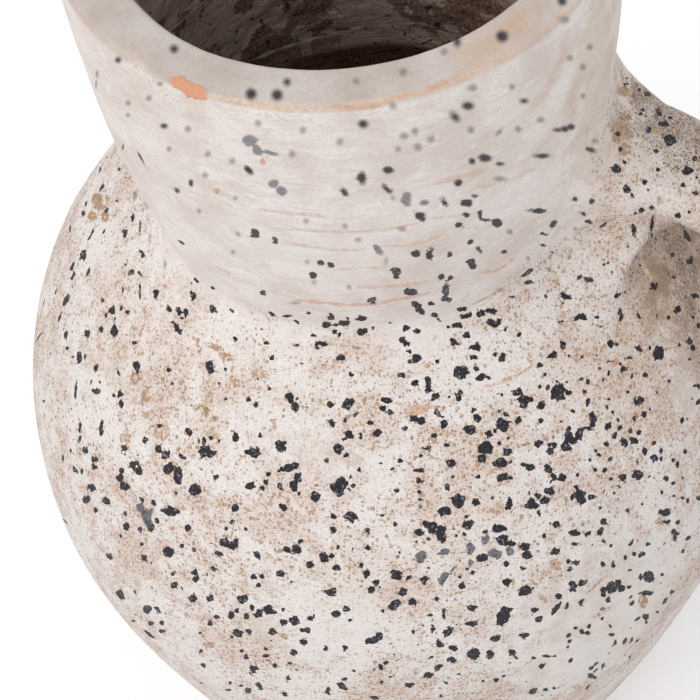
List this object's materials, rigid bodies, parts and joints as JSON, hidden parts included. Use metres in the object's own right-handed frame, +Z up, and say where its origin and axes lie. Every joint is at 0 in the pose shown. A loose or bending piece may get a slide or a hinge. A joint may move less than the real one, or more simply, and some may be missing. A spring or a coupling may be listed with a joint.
{
  "type": "single-handled terracotta jug",
  "caption": "Tall hand-built terracotta jug with a round belly, a wide flaring neck, a thick rolled lip and a strap handle.",
  "frame": {"origin": "centre of the flat foot, where the jug meets the ground", "axes": "+Z up along the jug's own axis, +X out through the handle"},
  "size_m": [0.326, 0.2996, 0.451],
  "materials": {
    "foot_clay": "bare, rough",
    "belly_clay": "limewashed, sandy, with black spatter",
    "neck_clay": "limewashed, brushed, with black spatter",
    "lip_clay": "limewashed, rubbed",
    "handle_clay": "limewashed, sandy, with black spatter",
    "luting_clay": "limewashed, sandy, wiped by hand"
  },
  "bodies": {
    "root": {"foot_slab": "foot_clay", "lower_belly": "belly_clay", "upper_belly": "belly_clay", "neck": "neck_clay", "lip": "lip_clay", "handle": "handle_clay", "handle_top_luting": "luting_clay", "handle_bottom_luting": "luting_clay"}
  },
  "joints": []
}
